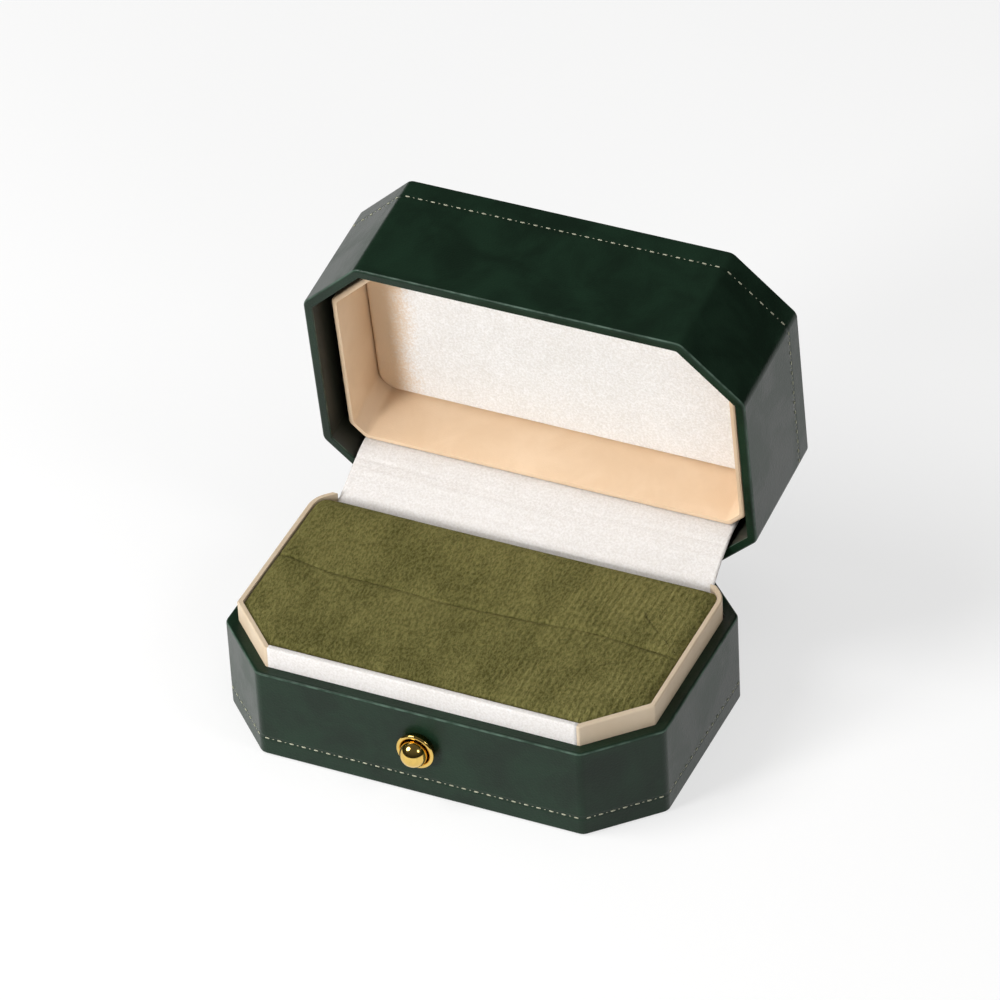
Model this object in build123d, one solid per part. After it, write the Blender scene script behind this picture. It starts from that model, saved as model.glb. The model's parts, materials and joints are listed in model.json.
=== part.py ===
from build123d import *
from math import cos, hypot, pi, radians, sin, sqrt, tan
import os

# A hinged ring box: a long octagonal base with a cushion, a deep lid that
# stands open, and a push button in the front wall that slides a magnet away.
# Millimetres. X runs along the box, +Y to its back, +Z up, and the origin is
# the centre of the underside. Lid pieces are drawn shut and then swung open.

# Outer case
LENGTH = 100.0
DEPTH = 66.0
CORNER_X = 13.4  # length of a cut corner along X
CORNER_Y = 13.2  # length of a cut corner along Y
BASE_HEIGHT = 22.0
LID_HEIGHT = 29.5
CORNER_ROUND = 2.4  # plan radius where two walls meet
EDGE_ROUND = 0.6  # along both rims
EDGE_BEVEL = 0.4  # round the bottom of the base and the top of the lid
WRAP = 0.5  # leatherette
BASE_WALL = 2.6  # shell and leatherette together
LID_WALL = 2.0
FLOOR = 2.0
LID_TOP = 1.6
TURN_IN = 7.0  # leatherette turned in under the base

# Hinge
HINGE_OPEN = 83.5  # degrees
HINGE_INSET = 1.5  # from the back face in to the pin
HINGE_FROM_END = 18.0  # from each end of the case
KNUCKLES = 3
KNUCKLE_R = 1.2
KNUCKLE_END_GAP = 0.3
PIN_R = 0.55
PIN_FIT = 0.05
SWING_GAP = 0.3  # room around a turning knuckle
BEVEL_SPARE = 0.75  # degrees taken off each bevel, so that they do not touch
LEAF_T = 0.6
LEAF_HEIGHT = 9.0
SCREW_R = 0.6
SCREW_HEAD_R = 1.3
SCREW_HEAD_T = 0.5
SCREW_DEPTH = 1.2  # into the wall
SCREW_PITCH = 40.0
SCREW_COUNT = 2
SCREW_FROM_EDGE = 3.0  # below the leaf's knuckle edge
SCREW_FIT = 0.02

# Collar inside the base
COLLAR_T = 1.1
COLLAR_RISE = 5.0
COLLAR_BEVEL = 0.25
BAY_DEPTH = 11.4  # from the back face in to where the collar and the lid tray stop
BAY_WALL_T = 0.9
BAY_WALL_DROP = 0.8  # below the rim
FACING_T = 0.35
FACING_TUCK = 2.5  # hidden below the base's rim
FACING_END = 0.6  # stops short of the collar's corners
FACING_ROUND = 0.3
COLLAR_BACK_ROUND = 6.0  # outside plan radius of the collar's two back corners

# Cushion and what carries it
BOARD_BELOW_RIM = 6.0
BOARD_T = 1.0
BOARD_GAP = 0.5
RISER_T = 1.0
RISER_FROM_END = 12.0  # from each end of the case
RISER_GAP = 4.0  # behind the foot of the latch bracket
CUSHION_GAP = 0.4
CUSHION_SIDE = 8.7  # height of the side before the crown starts
CROWN_RISE = 2.4
CROWN_WIDTH = 9.0
CROWN_STEPS = 5
CROWN_END = 78.0  # degrees of the crown's quarter ellipse that are used
DRAWN_IN = 0.5
SLIT_Y = -1.8
SLIT_GAP = 0.4
SLIT_ROUND = 0.12  # share of the crown width used beside the slit
CUSHION_CORNER_R = 1.6

# Fabric strip over the hinge
COVER_T = 0.5
COVER_SIDE_GAP = 0.9  # at each end, to the collar
COVER_GAP = 0.15
COVER_START = 0.5  # above the cushion board
COVER_GLUED = 3.0  # height of the strip that is glued to the tray
COVER_STEPS = 12
COVER_PULL = 4.5  # how far the strip leaves the tray along its wall
COVER_RISE = 3.0  # how far it leaves the cushion upwards

# Tray and pad in the lid
TRAY_INSET = 4.3
TRAY_RECESS = 4.5  # from the lid's rim in to the tray's rim
TRAY_T = 1.2
TRAY_DEPTH = 13.5
TRAY_BACK_DRAFT = 2.0
TRAY_SIDE_DRAFT = 0.3
TRAY_LIP_ROUND = 0.5
LIP_STEPS = 2
TRAY_CORNER_R = 1.6
PAD_T = 1.5
PAD_GAP = 0.25
PAD_ROUND = 1.0
PAD_STEPS = 2
SPACER_INSET = 8.0

# Push button and latch
BUTTON_BELOW_RIM = 9.0
BUTTON_R = 3.0
BUTTON_CUT = 2.5  # straight part behind the ball
BUTTON_PROUD = 5.3  # from the front wall to the tip of the ball
BUTTON_TRAVEL = 1.0
BUTTON_STOP_GAP = 0.2
CUP_T = 0.4
CUP_GAP = 0.25
CUP_PROUD = 1.6  # from the front wall to the middle of the rolled edge
BEAD_R = 0.5  # rolled edge of the cup
BEAD_STEPS = 4
STEM_R = 1.6
STEM_FIT = 0.1
TAIL_R = 1.0
TAIL_FIT = 0.06
TAIL_PAST = 1.2  # past the bracket
LATCH_T = 0.6
LATCH_HALF = 3.6
LATCH_BELOW = 3.0  # below the button's axis
LATCH_GAP = 0.1
RING_T = 0.35
RING_R = 1.75
SPRING_ROOM = 4.2  # from the ring to the bracket
SPRING_T = 0.3
SPRING_HALF = 2.5
SPRING_ABOVE = 1.6  # over and under the button's axis, where the spring is upright
SPRING_FOOT = 3.5  # height of the part that lies on the bracket
FORK_GAP = 0.3  # around the button's tail
BRACKET_T = 0.6
BRACKET_HALF = 5.0
BRACKET_FOOT = 6.0
BRACKET_ABOVE = 1.8  # over the button's axis
RIVET_R = 0.7
RIVET_DEPTH = 1.0
BRACKET_RIVET_X = 3.2

# Magnet on the latch plate, and its keeper in the lid
MAGNET_HALF = 3.0
MAGNET_HEIGHT = 1.6
MAGNET_REACH = 1.6  # forward into the front wall
MAGNET_DOWN = 0.2  # under the leatherette of the rim
SHELF_T = 0.6
POCKET_GAP = 0.15  # around the magnet and its shelf
KEEPER_T = 1.0
KEEPER_HEIGHT = 1.6
KEEPER_HALF = 3.5
KEEPER_BACK = 0.2  # from the lid wall's inner face
KEEPER_FIT = 0.02
WINDOW_GAP = 0.4  # around the latch plate in the collar

# Places worked out from the sizes
RIM = BASE_HEIGHT
TOP = BASE_HEIGHT + LID_HEIGHT
FRONT = -DEPTH / 2
HINGE_Y = DEPTH / 2 - HINGE_INSET
FLOOR_TOP = WRAP + FLOOR
BOARD_TOP = RIM - BOARD_BELOW_RIM
BUTTON_Z = RIM - BUTTON_BELOW_RIM
HINGE_LENGTH = LENGTH - 2 * HINGE_FROM_END
COLLAR_TOP = RIM + COLLAR_RISE
BASE_FRONT_IN = FRONT + BASE_WALL
BASE_BACK_IN = DEPTH / 2 - BASE_WALL
LID_FRONT_IN = FRONT + LID_WALL
LID_BACK_IN = DEPTH / 2 - LID_WALL
CUSHION_INSET = BASE_WALL + COLLAR_T + FACING_T + CUSHION_GAP
BAY_FRONT = DEPTH / 2 - BAY_DEPTH
CUSHION_BACK = BAY_FRONT - BAY_WALL_T - COVER_T - 3 * COVER_GAP
TRAY_RIM = RIM + TRAY_RECESS
TRAY_CEILING = TRAY_RIM + TRAY_DEPTH
TRAY_BACK = BAY_FRONT - 0.1
LATCH_FRONT = BASE_FRONT_IN + LATCH_GAP
LATCH_BACK = LATCH_FRONT + LATCH_T
RING_BACK = LATCH_BACK + RING_T
BRACKET_FRONT = RING_BACK + SPRING_ROOM
RISER_FRONT = BRACKET_FRONT + BRACKET_FOOT + RISER_GAP
MAGNET_TOP = RIM - WRAP - MAGNET_DOWN
MAGNET_LOW = MAGNET_TOP - MAGNET_HEIGHT
MAGNET_FRONT = BASE_FRONT_IN - MAGNET_REACH
WINDOW_HALF = LATCH_HALF + WINDOW_GAP
FAR = 2 * LENGTH


def outline(inset, low=-FAR, high=FAR):
    """Corners of the case's octagon moved in by inset, kept between two Y values."""
    half_x = LENGTH / 2 - inset
    half_y = DEPTH / 2 - inset
    run = hypot(CORNER_X, CORNER_Y)
    reach = (CORNER_Y * LENGTH / 2 + CORNER_X * (DEPTH / 2 - CORNER_Y)) / run - inset
    side_y = (reach * run - CORNER_Y * half_x) / CORNER_X
    end_x = (reach * run - CORNER_X * half_y) / CORNER_Y
    right = [(end_x, -half_y), (half_x, -side_y), (half_x, side_y), (end_x, half_y)]
    left = [(-x, y) for x, y in reversed(right)]
    return clipped(clipped(right + left, low, 1), high, -1)


def clipped(points, limit, sign):
    """The part of a convex outline on one side of a line of constant Y."""
    kept = []
    for (x0, y0), (x1, y1) in zip(points, points[1:] + points[:1]):
        inside = sign * (y0 - limit) >= 0
        if inside:
            kept.append((x0, y0))
        if inside != (sign * (y1 - limit) >= 0):
            share = (limit - y0) / (y1 - y0)
            kept.append((x0 + share * (x1 - x0), limit))
    return kept


def flat(corners, z, round_r):
    """A level face at a height, its corners rounded."""
    face = make_face(Polyline(*corners, close=True))
    return Pos(0, 0, z) * fillet(face.vertices(), round_r)


def prism(inset, z0, z1, low=-FAR, high=FAR):
    """An upright block with the case's outline, moved in by inset."""
    round_r = max(CORNER_ROUND - inset, CORNER_ROUND / 4)
    return extrude(flat(outline(inset, low, high), z0, round_r), z1 - z0)


def sheet(inset, z0, z1, high=FAR):
    """A cut sheet with the case's outline and sharp corners, moved in by inset."""
    face = make_face(Polyline(*outline(inset, high=high), close=True))
    return extrude(Pos(0, 0, z0) * face, z1 - z0)


def quarter_round(radius, steps):
    """Points round a quarter circle, as (inset, rise) from its lowest edge."""
    angles = [pi / 2 * k / steps for k in range(steps + 1)]
    return [(radius * (1 - sin(a)), radius * (1 - cos(a))) for a in angles]


def block(x0, x1, y0, y1, z0, z1):
    """A box between two corners."""
    centre = Pos((x0 + x1) / 2, (y0 + y1) / 2, (z0 + z1) / 2)
    return centre * Box(x1 - x0, y1 - y0, z1 - z0)


def rod_x(x0, x1, y, z, radius):
    """A round bar along X."""
    return Pos((x0 + x1) / 2, y, z) * Rot(0, 90, 0) * Cylinder(radius, x1 - x0)


def rod_y(x, y0, y1, z, radius):
    """A round bar along Y."""
    return Pos(x, (y0 + y1) / 2, z) * Rot(90, 0, 0) * Cylinder(radius, y1 - y0)


def rod_z(x, y, z0, z1, radius):
    """An upright round bar."""
    return Pos(x, y, (z0 + z1) / 2) * Cylinder(radius, z1 - z0)


def side_profile(points, half_x):
    """A block whose outline is drawn in the YZ plane, from -half_x to half_x."""
    face = make_face(Polyline(*[(-half_x, y, z) for y, z in points], close=True))
    return extrude(face, 2 * half_x, dir=(1, 0, 0))


def opened(shape):
    """A lid piece swung from shut to the open rest position."""
    pin = Pos(0, HINGE_Y, RIM)
    return pin * Rot(-HINGE_OPEN, 0, 0) * pin.inverse() * shape


def opened_point(y, z):
    """A lid point of the shut box, where it lies once the lid is open."""
    dy = y - HINGE_Y
    dz = z - RIM
    angle = radians(HINGE_OPEN)
    return HINGE_Y + dy * cos(angle) + dz * sin(angle), RIM - dy * sin(angle) + dz * cos(angle)


def hinge_relief(side):
    """What both rims lose at the back: a bevel and a trough for the knuckles."""
    slope = tan(radians(HINGE_OPEN / 2 + BEVEL_SPARE))
    run = 2 * HINGE_INSET
    corners = [(HINGE_Y, RIM), (HINGE_Y + run, RIM + side * run * slope)]
    corners.append((HINGE_Y + run, RIM - side))
    corners.append((HINGE_Y, RIM - side))
    trough_half = HINGE_LENGTH / 2 + SWING_GAP
    trough = rod_x(-trough_half, trough_half, HINGE_Y, RIM, KNUCKLE_R + SWING_GAP)
    return side_profile(corners, LENGTH / 2) + trough


def base_wrap():
    """Leatherette over the base's walls, turned over the rim and underneath."""
    skin = prism(0, 0, RIM)
    skin = fillet(skin.edges().group_by(Axis.Z)[-1], EDGE_ROUND)
    skin = chamfer(skin.edges().group_by(Axis.Z)[0], EDGE_BEVEL)
    skin -= prism(WRAP, WRAP, RIM - WRAP)
    skin -= prism(BASE_WALL, RIM - 2 * WRAP, RIM + WRAP)
    skin -= prism(TURN_IN, -WRAP, 2 * WRAP)
    skin -= hinge_relief(-1)
    return skin - rod_y(0, FRONT - 1, BASE_FRONT_IN, BUTTON_Z, cup_outer())


def base_shell():
    """Moulded base under the leatherette, open at the top."""
    shell = prism(WRAP, WRAP, RIM - WRAP)
    shell -= prism(BASE_WALL, FLOOR_TOP, RIM)
    shell -= hinge_relief(-1)
    shell -= magnet_pocket()
    shell -= rod_y(0, FRONT - 1, cup_floor(), BUTTON_Z, cup_outer())
    shell -= rod_y(0, FRONT - 1, BASE_FRONT_IN + 1, BUTTON_Z, STEM_R + STEM_FIT)
    for x in screw_places():
        end = BASE_BACK_IN + SCREW_DEPTH
        shell -= rod_y(x, BASE_BACK_IN - 1, end, base_screw_z(), SCREW_R + SCREW_FIT)
    for x in (-BRACKET_RIVET_X, BRACKET_RIVET_X):
        low = FLOOR_TOP - RIVET_DEPTH
        shell -= rod_z(x, rivet_y(), low, FLOOR_TOP + 1, RIVET_R + SCREW_FIT)
    return shell


def magnet_pocket():
    """Pocket in the base's front wall, under the leatherette, that the magnet slides in."""
    half = MAGNET_HALF + POCKET_GAP
    low = MAGNET_LOW - SHELF_T - POCKET_GAP
    return block(-half, half, MAGNET_FRONT - POCKET_GAP, BASE_FRONT_IN + 1, low, RIM)


def base_sole():
    """Felt on the underside, inside the turned-in leatherette."""
    return sheet(TURN_IN + COVER_GAP, 0, WRAP)


def lid_wrap():
    """Leatherette over the lid, turned over its rim."""
    skin = prism(0, RIM, TOP)
    skin = fillet(skin.edges().group_by(Axis.Z)[0], EDGE_ROUND)
    skin = chamfer(skin.edges().group_by(Axis.Z)[-1], EDGE_BEVEL)
    skin -= prism(WRAP, RIM + WRAP, TOP - WRAP)
    skin -= prism(LID_WALL, RIM - WRAP, RIM + 2 * WRAP)
    return opened(skin - hinge_relief(1))


def lid_shell():
    """Moulded lid under the leatherette, open towards the base."""
    shell = prism(WRAP, RIM + WRAP, TOP - WRAP)
    shell -= prism(LID_WALL, RIM, TOP - WRAP - LID_TOP)
    shell -= hinge_relief(1)
    for x in screw_places():
        end = LID_BACK_IN + SCREW_DEPTH
        shell -= rod_y(x, LID_BACK_IN - 1, end, lid_screw_z(), SCREW_R + SCREW_FIT)
    return opened(shell - keeper_bar(KEEPER_FIT, RIM))


def screw_places():
    """X of each hinge screw."""
    first = -SCREW_PITCH * (SCREW_COUNT - 1) / 2
    return [first + k * SCREW_PITCH for k in range(SCREW_COUNT)]


def leaf_edge(gap_y):
    """Height from the pin at which a leaf clears the other leaf's knuckles."""
    swing = KNUCKLE_R + SWING_GAP
    return sqrt(max(swing**2 - gap_y**2, 0)) + 0.05


def base_leaf_top():
    """Where the base leaf's plate stops below the knuckles."""
    return RIM - leaf_edge(HINGE_Y - BASE_BACK_IN)


def lid_leaf_low():
    """Where the lid leaf's plate stops above the knuckles."""
    return RIM + leaf_edge(HINGE_Y - LID_BACK_IN)


def base_screw_z():
    """Height of the base leaf's screws."""
    return base_leaf_top() - SCREW_FROM_EDGE


def lid_screw_z():
    """Height of the lid leaf's screws in the shut lid."""
    return lid_leaf_low() + SCREW_FROM_EDGE


def knuckle_spans(first):
    """X ranges of every second knuckle, starting with number first."""
    pitch = HINGE_LENGTH / KNUCKLES
    start = -HINGE_LENGTH / 2
    spans = []
    for k in range(first, KNUCKLES, 2):
        x0 = start + k * pitch + KNUCKLE_END_GAP / 2
        spans.append((x0, x0 + pitch - KNUCKLE_END_GAP))
    return spans


def hinge_leaf_base():
    """Base leaf: a plate on the back wall with three knuckles."""
    half = HINGE_LENGTH / 2
    top = base_leaf_top()
    front = BASE_BACK_IN - LEAF_T
    leaf = block(-half, half, front, BASE_BACK_IN, top - LEAF_HEIGHT, top)
    for x0, x1 in knuckle_spans(0):
        leaf += block(x0, x1, front, BASE_BACK_IN, top - LEAF_T, RIM - COVER_GAP)
        leaf += block(x0, x1, front, HINGE_Y - LEAF_T, RIM - LEAF_T - COVER_GAP, RIM - COVER_GAP)
        leaf += rod_x(x0, x1, HINGE_Y, RIM, KNUCKLE_R)
    leaf -= rod_x(-half - 1, half + 1, HINGE_Y, RIM, PIN_R + SCREW_FIT)
    for x in screw_places():
        leaf -= rod_y(x, front - 1, BASE_BACK_IN + 1, base_screw_z(), SCREW_R + SCREW_FIT)
    return leaf


def hinge_leaf_lid():
    """Lid leaf: a plate on the lid's back wall with the knuckles in between."""
    half = HINGE_LENGTH / 2
    low = lid_leaf_low()
    front = LID_BACK_IN - LEAF_T
    leaf = block(-half, half, front, LID_BACK_IN, low, low + LEAF_HEIGHT)
    for x0, x1 in knuckle_spans(1):
        leaf += block(x0, x1, front, LID_BACK_IN, RIM + COVER_GAP, low + LEAF_T)
        leaf += rod_x(x0, x1, HINGE_Y, RIM, KNUCKLE_R)
    leaf -= rod_x(-half - 1, half + 1, HINGE_Y, RIM, PIN_R + PIN_FIT)
    for x in screw_places():
        leaf -= rod_y(x, front - 1, LID_BACK_IN + 1, lid_screw_z(), SCREW_R + SCREW_FIT)
    return opened(leaf)


def hinge_pin():
    """The pin that both leaves turn on."""
    return rod_x(-HINGE_LENGTH / 2, HINGE_LENGTH / 2, HINGE_Y, RIM, PIN_R)


def wall_screw(x, wall_y, z):
    """A small screw through a leaf on a back wall, its head to the front."""
    under_head = wall_y - LEAF_T
    head = rod_y(x, under_head - SCREW_HEAD_T, under_head, z, SCREW_HEAD_R)
    return head + rod_y(x, under_head, wall_y + SCREW_DEPTH, z, SCREW_R)


def hinge_screws_base():
    """Screws through the base leaf."""
    return [wall_screw(x, BASE_BACK_IN, base_screw_z()) for x in screw_places()]


def hinge_screws_lid():
    """Screws through the lid leaf."""
    return [opened(wall_screw(x, LID_BACK_IN, lid_screw_z())) for x in screw_places()]


def facing_half():
    """Half the length of the suede facing on the collar's straight front."""
    return outline(BASE_WALL)[0][0] - FACING_END


def facing_low():
    """Hidden lower edge of the suede facing."""
    return RIM - FACING_TUCK


def collar_block(inset, z0, z1):
    """An upright block of the collar's outline, moved in by inset, its back corners round."""
    corners = outline(BASE_WALL + inset)
    side_x, side_y = corners[2]
    face = make_face(Polyline(*corners, close=True))
    for back, round_r in ((False, CORNER_ROUND / 4), (True, COLLAR_BACK_ROUND - inset)):
        at_back = [hypot(abs(v.X) - side_x, v.Y - side_y) < 0.01 for v in face.vertices()]
        chosen = [v for v, found in zip(face.vertices(), at_back) if found == back]
        if not back:
            chosen = [v for v in chosen if v.Y < 0]
        face = fillet(chosen, round_r)
    return extrude(Pos(0, 0, z0) * face, z1 - z0)


def collar_frame():
    """Upright lining of the base that stands proud of the rim, open at the back."""
    frame = collar_block(0, FLOOR_TOP, COLLAR_TOP)
    frame = chamfer(frame.edges().group_by(Axis.Z)[-1], COLLAR_BEVEL)
    frame -= collar_block(COLLAR_T, FLOOR_TOP - 1, COLLAR_TOP + 1)
    frame -= block(-LENGTH, LENGTH, BAY_FRONT, DEPTH, 0, COLLAR_TOP + 1)
    half = facing_half()
    outer = BASE_FRONT_IN + FACING_T
    back = BASE_FRONT_IN + COLLAR_T
    frame -= block(-half, half, FRONT, outer, facing_low(), COLLAR_TOP + 1)
    frame -= block(-half, half, FRONT, back + 1, COLLAR_TOP - FACING_T, COLLAR_TOP + 1)
    return frame - latch_window()


def latch_window():
    """Opening in the collar's front that the latch plate moves in."""
    low = BUTTON_Z - LATCH_BELOW - WINDOW_GAP
    back = BASE_FRONT_IN + COLLAR_T + FACING_T + 1
    return block(-WINDOW_HALF, WINDOW_HALF, FRONT, back, low, RIM - WRAP)


def collar_facing():
    """Suede folded over the collar's straight front."""
    half = facing_half()
    back = BASE_FRONT_IN + COLLAR_T + FACING_T
    fold = block(-half, half, BASE_FRONT_IN, back, facing_low(), COLLAR_TOP)
    ridges = fold.edges().filter_by(Axis.X).group_by(Axis.Z)[-1]
    fold = fillet(ridges, FACING_ROUND)
    inner = BASE_FRONT_IN + COLLAR_T
    fold -= block(-LENGTH, LENGTH, BASE_FRONT_IN + FACING_T, inner, 0, COLLAR_TOP - FACING_T)
    return fold - latch_window()


def cover_half():
    """Half the length of the hinge strip, from the collar's inside at its back ends."""
    collar_inside = outline(BASE_WALL + COLLAR_T, high=BAY_FRONT)
    return max(x for x, y in collar_inside if y == BAY_FRONT) - COVER_SIDE_GAP


def bay_wall():
    """Card wall between the cushion and the hinge."""
    half = cover_half() + COVER_GAP
    return block(-half, half, BAY_FRONT - BAY_WALL_T, BAY_FRONT, FLOOR_TOP,
                 RIM - BAY_WALL_DROP)


def cushion_riser():
    """Folded card box that holds the cushion board up, open underneath."""
    top = BOARD_TOP - BOARD_T
    half = LENGTH / 2 - RISER_FROM_END
    riser = block(-half, half, RISER_FRONT, CUSHION_BACK, FLOOR_TOP, top)
    half -= RISER_T
    front = RISER_FRONT + RISER_T
    return riser - block(-half, half, front, CUSHION_BACK - RISER_T, 0, top - RISER_T)


def cushion_board():
    """Card under the cushion, cut back over the latch."""
    inset = BASE_WALL + COLLAR_T + BOARD_GAP
    board = sheet(inset, BOARD_TOP - BOARD_T, BOARD_TOP, high=CUSHION_BACK)
    half = WINDOW_HALF + WINDOW_GAP
    return board - block(-half, half, FRONT, LATCH_BACK + 2 * BUTTON_TRAVEL, 0, TOP)


def cushion_section(z, draw, front):
    """Plan of one cushion roll at a height, drawn in by draw."""
    if front:
        side = -1
        corners = outline(CUSHION_INSET, high=SLIT_Y - SLIT_GAP / 2)
    else:
        side = 1
        corners = outline(CUSHION_INSET, SLIT_Y + SLIT_GAP / 2, CUSHION_BACK)
    slit = SLIT_Y + side * SLIT_GAP / 2
    depth = max(abs(y - slit) for x, y in corners)
    keep_x = 1 - draw / (LENGTH / 2 - CUSHION_INSET)
    keep_y = 1 - draw * (1 + SLIT_ROUND) / depth
    near = slit + side * draw * SLIT_ROUND
    moved = [(x * keep_x, near + (y - slit) * keep_y) for x, y in corners]
    return flat(moved, z, CUSHION_CORNER_R)


def cushion_roll(front):
    """One half of the velvet cushion, with drawn-in sides and a low crown."""
    shoulder = BOARD_TOP + CUSHION_SIDE
    sections = [cushion_section(BOARD_TOP, 2 * DRAWN_IN, front)]
    sections.append(cushion_section(BOARD_TOP + CUSHION_SIDE / 2, DRAWN_IN, front))
    for k in range(CROWN_STEPS + 1):
        angle = radians(CROWN_END * k / CROWN_STEPS)
        rise = CROWN_RISE * sin(angle)
        draw = CROWN_WIDTH * (1 - cos(angle))
        sections.append(cushion_section(shoulder + rise, draw, front))
    return loft(sections, ruled=True)


def cover_line():
    """Middle line of the hinge strip in the YZ plane, from the cushion to the tray."""
    back_y = CUSHION_BACK + COVER_GAP + COVER_T / 2
    wall_y = TRAY_BACK + COVER_GAP + COVER_T / 2
    leave = (back_y, RIM)
    arrive = opened_point(wall_y, TRAY_RIM)
    pull = opened_point(wall_y, TRAY_RIM - COVER_PULL)
    curve = [(back_y, BOARD_TOP + COVER_START)]
    for k in range(COVER_STEPS + 1):
        t = k / COVER_STEPS
        weights = ((1 - t)**3, 3 * t * (1 - t)**2, 3 * t**2 * (1 - t), t**3)
        handles = (leave, (back_y, RIM + COVER_RISE), pull, arrive)
        y = sum(w * p[0] for w, p in zip(weights, handles))
        z = sum(w * p[1] for w, p in zip(weights, handles))
        curve.append((y, z))
    curve.append(opened_point(wall_y, TRAY_RIM + COVER_GLUED))
    return curve


def hinge_cover():
    """Suede strip that hides the hinge, from behind the cushion to the lid's tray."""
    return side_profile(bent_strip(cover_line(), COVER_T), cover_half())


def bent_strip(line, thickness):
    """Outline in the YZ plane of a bent strip, given its middle line."""
    normals = []
    for (y0, z0), (y1, z1) in zip(line, line[1:]):
        run = hypot(y1 - y0, z1 - z0)
        normals.append(((z0 - z1) / run, (y1 - y0) / run))
    near = []
    far = []
    for (y, z), before, after in zip(line, normals[:1] + normals, normals + normals[-1:]):
        share = thickness / 2 / (1 + before[0] * after[0] + before[1] * after[1])
        shift_y = (before[0] + after[0]) * share
        shift_z = (before[1] + after[1]) * share
        near.append((y + shift_y, z + shift_z))
        far.append((y - shift_y, z - shift_z))
    return near + far[::-1]


def tray_section(inset, back_draft, z):
    """Plan of the tray at a height, its back wall moved forward by the draft."""
    corners = outline(TRAY_INSET + inset, high=TRAY_BACK - inset)
    moved = [(x, y - back_draft if y > 0 else y) for x, y in corners]
    return flat(moved, z, TRAY_CORNER_R)


def lid_tray():
    """Leatherette-covered tray recessed in the lid, its walls slightly tapered."""
    side = TRAY_SIDE_DRAFT
    back = TRAY_BACK_DRAFT
    lip = [tray_section(inset, 0, TRAY_RIM + rise)
           for inset, rise in quarter_round(TRAY_LIP_ROUND, LIP_STEPS)]
    outer = loft(lip + [tray_section(side, back, TRAY_CEILING + TRAY_T)], ruled=True)
    rim_in = tray_section(TRAY_T, 0, TRAY_RIM)
    ceiling_in = tray_section(TRAY_T + side, back, TRAY_CEILING)
    return opened(outer - loft([rim_in, ceiling_in], ruled=True))


def lid_pad():
    """Suede pad glued to the tray's ceiling."""
    side = TRAY_T + TRAY_SIDE_DRAFT + PAD_GAP
    low = TRAY_CEILING - PAD_T
    sections = [tray_section(side + inset, TRAY_BACK_DRAFT, low + rise)
                for inset, rise in quarter_round(PAD_ROUND, PAD_STEPS)]
    sections.append(tray_section(side, TRAY_BACK_DRAFT, TRAY_CEILING))
    return opened(loft(sections, ruled=True))


def tray_spacer():
    """Foam between the tray and the lid's top."""
    low = TRAY_CEILING + TRAY_T
    high = TRAY_BACK - TRAY_BACK_DRAFT - TRAY_T
    return opened(sheet(SPACER_INSET, low, TOP - WRAP - LID_TOP, high=high))


def keeper_bar(fit, low):
    """The keeper's bar in the shut lid, grown by fit and reaching down to low."""
    half = KEEPER_HALF + fit
    back = LID_FRONT_IN - KEEPER_BACK
    top = RIM + WRAP + KEEPER_HEIGHT + fit
    return block(-half, half, back - KEEPER_T - fit, back + fit, low, top)


def lid_keeper():
    """Steel bar let into the lid's front wall, over the magnet."""
    return opened(keeper_bar(0, RIM + WRAP))


def cup_outer():
    """Outer radius of the button's cup, and of its seat in the wall."""
    return BUTTON_R + CUP_GAP + CUP_T


def cup_floor():
    """Y of the back of the cup."""
    return button_back() + BUTTON_TRAVEL + BUTTON_STOP_GAP + CUP_T


def button_back():
    """Y of the flat back of the button's head."""
    return FRONT - BUTTON_PROUD + BUTTON_R + BUTTON_CUT


def button_cup():
    """Brass cup in the front wall with a rolled edge round the button."""
    outer = cup_outer()
    inner = outer - CUP_T
    floor = cup_floor()
    hole = STEM_R + STEM_FIT
    centre = inner + BEAD_R
    angles = [pi * k / BEAD_STEPS for k in range(BEAD_STEPS + 1)]
    lip = FRONT - CUP_PROUD
    profile = [(centre - BEAD_R * cos(a), lip - BEAD_R * sin(a)) for a in angles]
    profile += [(outer, lip), (outer, floor), (hole, floor)]
    profile += [(hole, floor - CUP_T), (inner, floor - CUP_T)]
    return Pos(0, 0, BUTTON_Z) * revolve(make_face(Polyline(*profile, close=True)), Axis.Y)


def button_knob():
    """Ball-headed brass button on its stepped stem."""
    centre = FRONT - BUTTON_PROUD + BUTTON_R
    head = Pos(0, centre, BUTTON_Z) * Sphere(BUTTON_R)
    head -= block(-LENGTH, LENGTH, centre, DEPTH, 0, TOP)
    head += rod_y(0, centre, button_back(), BUTTON_Z, BUTTON_R)
    stem = rod_y(0, button_back() - 1, LATCH_FRONT, BUTTON_Z, STEM_R)
    tail_end = BRACKET_FRONT + BRACKET_T + TAIL_PAST
    return head + stem + rod_y(0, LATCH_FRONT - 1, tail_end, BUTTON_Z, TAIL_R)


def latch_plate():
    """Steel plate on the stem, with a shelf for the magnet at its top."""
    low = BUTTON_Z - LATCH_BELOW
    plate = block(-LATCH_HALF, LATCH_HALF, LATCH_FRONT, LATCH_BACK, low, MAGNET_TOP)
    shelf_low = MAGNET_LOW - SHELF_T
    plate += block(-MAGNET_HALF, MAGNET_HALF, MAGNET_FRONT, LATCH_FRONT, shelf_low, MAGNET_LOW)
    return plate - rod_y(0, FRONT, 0, BUTTON_Z, TAIL_R + SCREW_FIT)


def latch_magnet():
    """Bar magnet glued to the latch plate's shelf."""
    return block(-MAGNET_HALF, MAGNET_HALF, MAGNET_FRONT, LATCH_FRONT, MAGNET_LOW, MAGNET_TOP)


def latch_ring():
    """Push-on ring that holds the latch plate on the stem."""
    ring = rod_y(0, LATCH_BACK, RING_BACK, BUTTON_Z, RING_R)
    return ring - rod_y(0, FRONT, 0, BUTTON_Z, TAIL_R + SCREW_FIT)


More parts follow.
